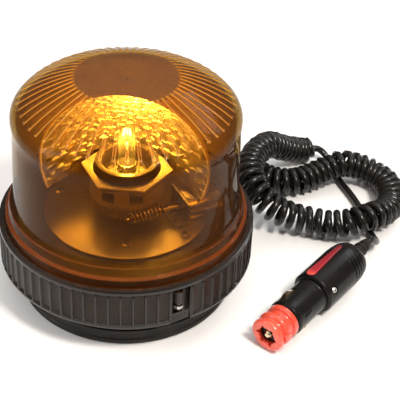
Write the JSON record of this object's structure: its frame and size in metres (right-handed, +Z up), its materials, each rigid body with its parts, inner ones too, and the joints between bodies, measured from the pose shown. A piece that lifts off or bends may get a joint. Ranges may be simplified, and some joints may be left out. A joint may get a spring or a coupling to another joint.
{
  "type": "rotating beacon",
  "caption": "Magnetic-foot rotating beacon: amber ribbed dome over a turning reflector and lamp, on a ribbed base, with a curly lead and a round vehicle-socket plug.",
  "frame": {"origin": "centre of the rubber foot's underside, on the surface that the beacon stands on", "axes": "+Z up along the dome's axis, -Y towards the front, +X towards the side where the lead and plug lie"},
  "size_m": [0.2451, 0.195, 0.1298],
  "materials": {
    "amber_lens": "clear moulded amber, glossy",
    "black_plastic": "moulded, satin",
    "black_rubber": "moulded, matt",
    "ferrite": "sintered, matt",
    "steel": "zinc plated",
    "bright_metal": "vacuum metallised, bright",
    "nylon": "moulded, satin",
    "brass": "bright",
    "bulb_glass": "clear",
    "red_plastic": "moulded, glossy",
    "red_lens": "clear red, glossy",
    "lead_cover": "extruded, satin"
  },
  "bodies": {
    "base": {"rubber_boot": "black_rubber", "ring_magnet": "ferrite", "steel_plate": "steel", "magnet_bolt": "steel", "magnet_nut": "steel", "base_housing": "black_plastic", "cable_gland": "black_rubber", "base_deck": "black_plastic", "deck_skirt": "black_plastic", "chassis_plate": "bright_metal", "plate_screw_front": "steel", "plate_screw_right": "steel", "plate_screw_left": "steel", "lock_screw": "steel", "dome_seal": "black_rubber", "lamp_post": "steel", "thrust_washer": "nylon", "lamp_holder": "black_plastic", "lamp_contact": "brass", "bulb_base": "steel", "bulb_glass": "bulb_glass", "motor_can": "steel", "motor_end_cap": "black_plastic", "motor_terminal_minus": "brass", "motor_terminal_plus": "brass", "motor_bracket": "steel", "bracket_screw_front": "steel", "bracket_screw_rear": "steel", "lamp_lead": "lead_cover", "motor_lead": "lead_cover", "cord_lead_in": "lead_cover", "curly_cord": "lead_cover", "cord_tail": "lead_cover", "plug_nose": "black_plastic", "plug_grip": "black_plastic", "indicator_lens": "red_lens", "plug_screw": "steel", "plug_strain_relief": "black_rubber"},
    "cover": {"amber_dome": "amber_lens", "retaining_ring": "black_plastic"},
    "rotor": {"worm_wheel": "nylon", "rotor_drum": "nylon", "carrier_plate": "bright_metal", "reflector": "bright_metal", "reflector_screw_left": "steel", "reflector_screw_right": "steel"},
    "worm_drive": {"worm": "steel", "motor_shaft": "steel"},
    "clip": {"bulb_clip": "steel"},
    "adapter": {"red_adapter": "red_plastic"},
    "centre_pin": {"centre_contact": "brass", "contact_spring": "steel"},
    "left_contact": {"side_contact_left": "brass"},
    "right_contact": {"side_contact_right": "brass"}
  },
  "joints": [
    {"name": "cover_lift", "type": "slide", "parent": "base", "child": "cover", "axis": [0, 0, 1], "range_m": [0, 0.1]},
    {"name": "rotor_spin", "type": "hinge", "parent": "base", "child": "rotor", "pos_m": [0, 0, 0.0588], "axis": [0, 0, 1], "continuous": true},
    {"name": "worm_spin", "type": "hinge", "parent": "base", "child": "worm_drive", "pos_m": [0.00797, -0.01834, 0.0548], "axis": [0.9171, 0.3987, 0], "continuous": true},
    {"name": "clip_swing", "type": "hinge", "parent": "base", "child": "clip", "pos_m": [0, -0.0108, 0.0735], "axis": [1, 0, 0], "range_deg": [0, 90]},
    {"name": "adapter_pull", "type": "slide", "parent": "base", "child": "adapter", "axis": [-0.674, -0.737, -0.0506], "range_m": [0, 0.018]},
    {"name": "centre_pin_press", "type": "slide", "parent": "base", "child": "centre_pin", "axis": [0.674, 0.737, 0.0506], "range_m": [0, 0.003], "stiffness_N_per_m": 800, "springref_m": -0.002},
    {"name": "left_contact_press", "type": "slide", "parent": "base", "child": "left_contact", "axis": [0.4094, -0.3156, -0.8561], "range_m": [0, 0.0009], "stiffness_N_per_m": 1500, "springref_m": -0.001},
    {"name": "right_contact_press", "type": "slide", "parent": "base", "child": "right_contact", "axis": [-0.4094, 0.3156, 0.8561], "range_m": [0, 0.0009], "stiffness_N_per_m": 1500, "springref_m": -0.001}
  ],
  "couplings": [
    {"joint": "worm_spin", "follows": "rotor_spin", "ratio": -48}
  ]
}
